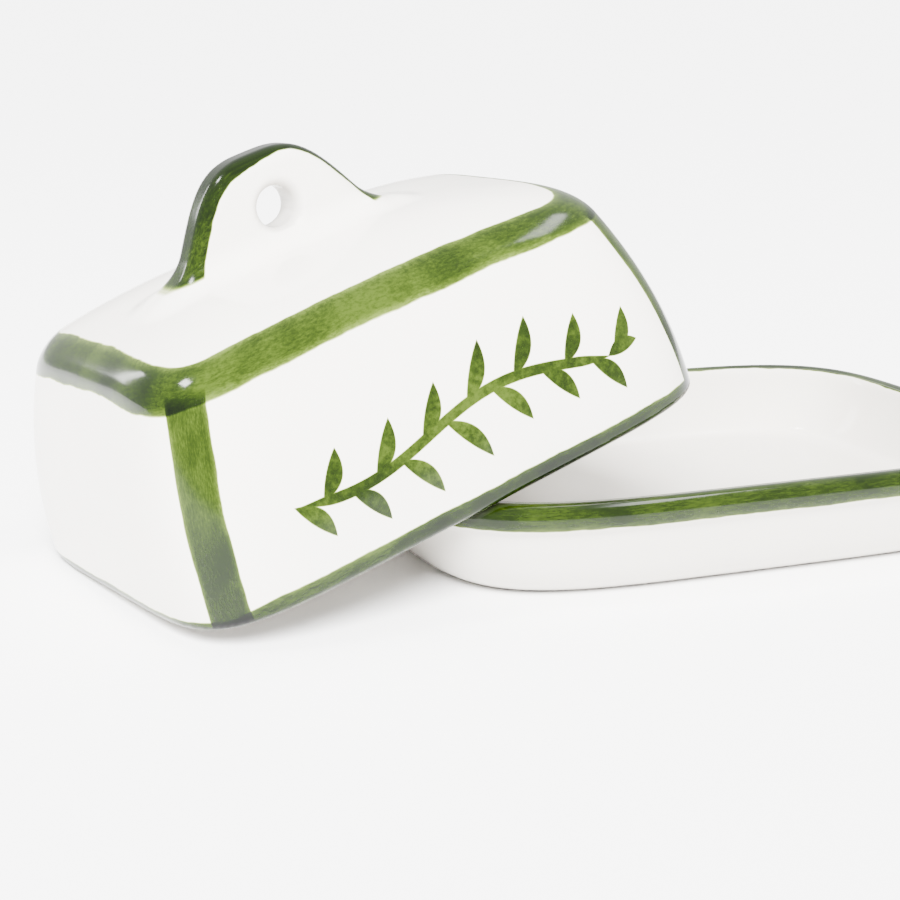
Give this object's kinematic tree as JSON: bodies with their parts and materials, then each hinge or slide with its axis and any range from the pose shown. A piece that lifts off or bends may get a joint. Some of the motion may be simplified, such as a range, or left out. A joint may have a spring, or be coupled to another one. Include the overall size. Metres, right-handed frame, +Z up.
{
  "type": "butter dish",
  "caption": "Covered butter dish of glazed ceramic: a shallow tray with soft corners and a box-shaped lid with a pierced tab handle, shown with the lid leaning on the tray rim.",
  "frame": {"origin": "centre of the tray's flat foot, on the surface that it stands on", "axes": "+X along the tray's length, away from the lid that leans on its other end; -Y to the front; +Z up"},
  "size_m": [0.297, 0.16, 0.1219],
  "materials": {
    "tray_glaze": "gloss",
    "lid_glaze": "gloss"
  },
  "bodies": {
    "tray": {"tray": "tray_glaze"},
    "lid": {"lid": "lid_glaze"}
  },
  "joints": [
    {"name": "lid_lift", "type": "slide", "parent": "tray", "child": "lid", "axis": [0, 0, 1], "range_m": [0, 0.04]}
  ]
}
